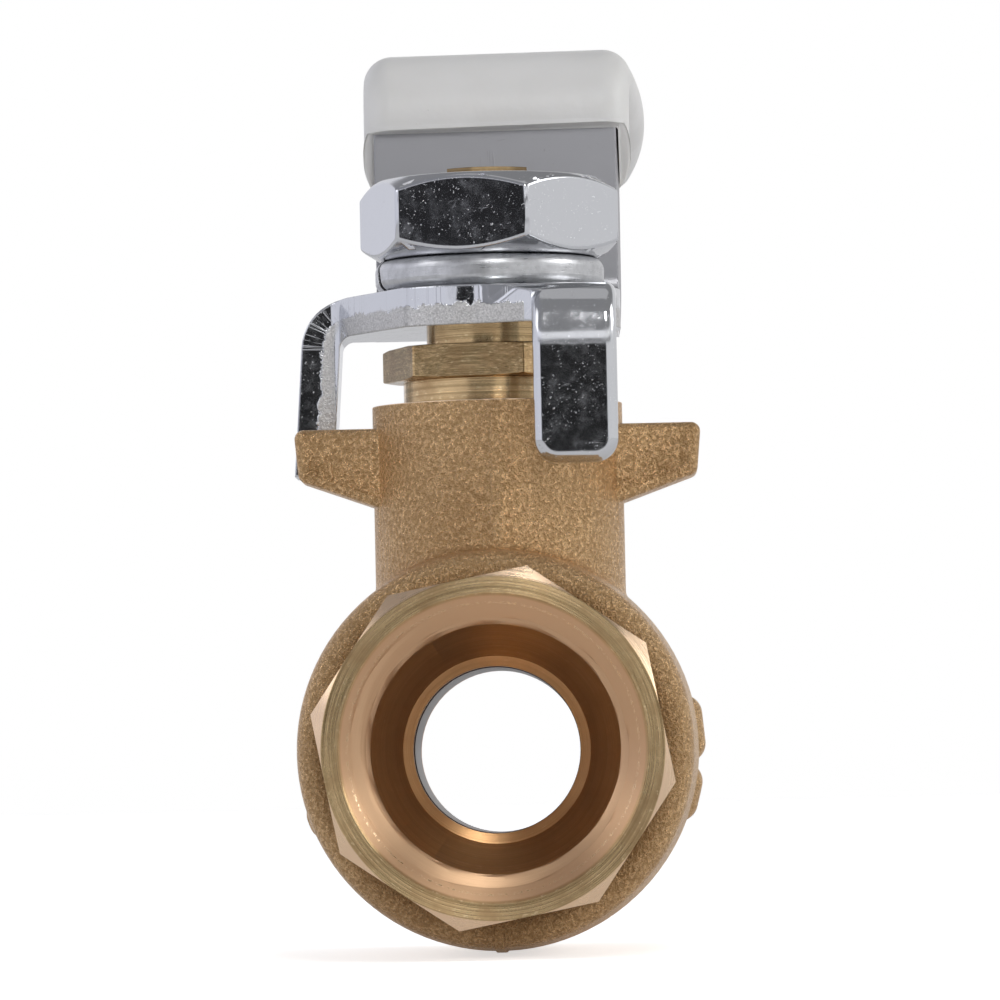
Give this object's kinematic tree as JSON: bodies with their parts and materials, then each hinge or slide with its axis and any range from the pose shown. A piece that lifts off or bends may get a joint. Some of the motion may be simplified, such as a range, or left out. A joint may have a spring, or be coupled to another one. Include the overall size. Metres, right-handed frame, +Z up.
{
  "type": "lever ball valve",
  "caption": "Small forged-brass ball valve with female threaded ends, a bent steel quarter-turn lever with stop legs and a dipped vinyl grip.",
  "frame": {"origin": "centre of the inlet port's face, on the pipe axis", "axes": "+Y along the pipe from inlet to outlet, +Z up along the stem, +X to the right seen from the inlet"},
  "size_m": [0.0314, 0.126, 0.071],
  "materials": {
    "forged_brass": "shot-blasted forging, matt with a fine grain",
    "machined_brass": "turned, with fine lathe rings",
    "chromed_ball": "polished chrome plate on brass",
    "chromed_steel": "bright plated pressed steel with pits and a torn edge",
    "zinc_steel": "satin zinc plate",
    "vinyl": "dipped soft vinyl, cream white, satin",
    "ptfe": "white PTFE, waxy",
    "nitrile": "black nitrile rubber"
  },
  "bodies": {
    "valve_body": {"body": "forged_brass", "end_piece": "machined_brass", "body_o_ring": "nitrile", "seat_front": "ptfe", "seat_rear": "ptfe", "thrust_washer": "ptfe", "packing_lower": "ptfe", "packing_upper": "ptfe", "gland_washer": "machined_brass", "gland_nut": "machined_brass"},
    "handle": {"stem": "machined_brass", "stem_o_ring": "nitrile", "lever": "chromed_steel", "grip_sleeve": "vinyl", "spring_washer": "zinc_steel", "lever_nut": "chromed_steel"},
    "ball": {"ball": "chromed_ball"}
  },
  "joints": [
    {"name": "lever_turn", "type": "hinge", "parent": "valve_body", "child": "handle", "pos_m": [0, 0.028, 0], "axis": [0, 0, 1], "range_deg": [-90, 0]},
    {"name": "ball_turn", "type": "hinge", "parent": "valve_body", "child": "ball", "pos_m": [0, 0.028, 0], "axis": [0, 0, 1], "range_deg": [-90, 0]}
  ],
  "couplings": [
    {"joint": "ball_turn", "follows": "lever_turn", "ratio": 1}
  ]
}
